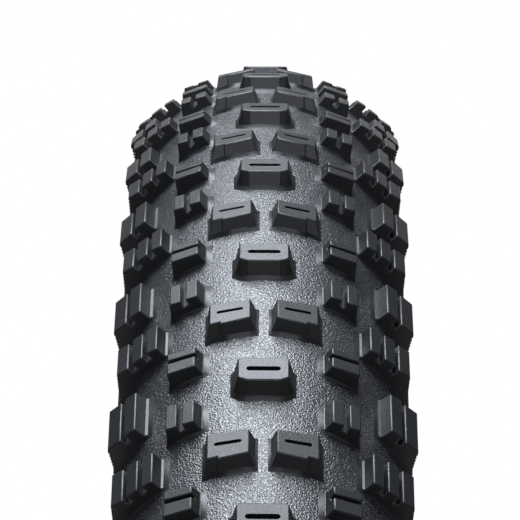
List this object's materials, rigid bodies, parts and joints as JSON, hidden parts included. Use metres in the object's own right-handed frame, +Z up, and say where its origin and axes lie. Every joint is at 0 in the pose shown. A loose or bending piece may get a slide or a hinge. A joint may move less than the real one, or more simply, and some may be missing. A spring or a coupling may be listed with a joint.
{
  "type": "bicycle tire",
  "caption": "Knobbed bicycle tire in its inflated shape, with siped centre and transition knobs, stepped shoulder knobs, layered casing and hooked-rim beads.",
  "frame": {"origin": "the wheel's centre: the middle of the axle line, in the tire's centre plane", "axes": "+Z up, the wheel's axle along Y, left side +Y; +X is the side the picture was taken from"},
  "size_m": [0.7518, 0.0606, 0.7516],
  "materials": {
    "liner": "satin",
    "casing": "matte",
    "belt": "matte",
    "tread": "matte",
    "sidewall": "satin",
    "bead": "satin",
    "filler": "matte",
    "chafer": "satin",
    "knob": "satin"
  },
  "bodies": {
    "root": {"inner_liner": "liner", "casing_ply_inner": "casing", "casing_ply_outer": "casing", "puncture_belt": "belt", "tread_base": "tread", "sidewall_left": "sidewall", "sidewall_right": "sidewall", "bead_core_left": "bead", "bead_core_right": "bead", "bead_filler_left": "filler", "bead_filler_right": "filler", "chafer_left": "chafer", "chafer_right": "chafer", "center_knobs": "knob", "paired_knobs_left": "knob", "paired_knobs_right": "knob", "siped_knobs_left": "knob", "siped_knobs_right": "knob", "slotted_knobs_left": "knob", "slotted_knobs_right": "knob", "shoulder_triples_left": "knob", "shoulder_triples_right": "knob", "shoulder_doubles_left": "knob", "shoulder_doubles_right": "knob"}
  },
  "joints": []
}
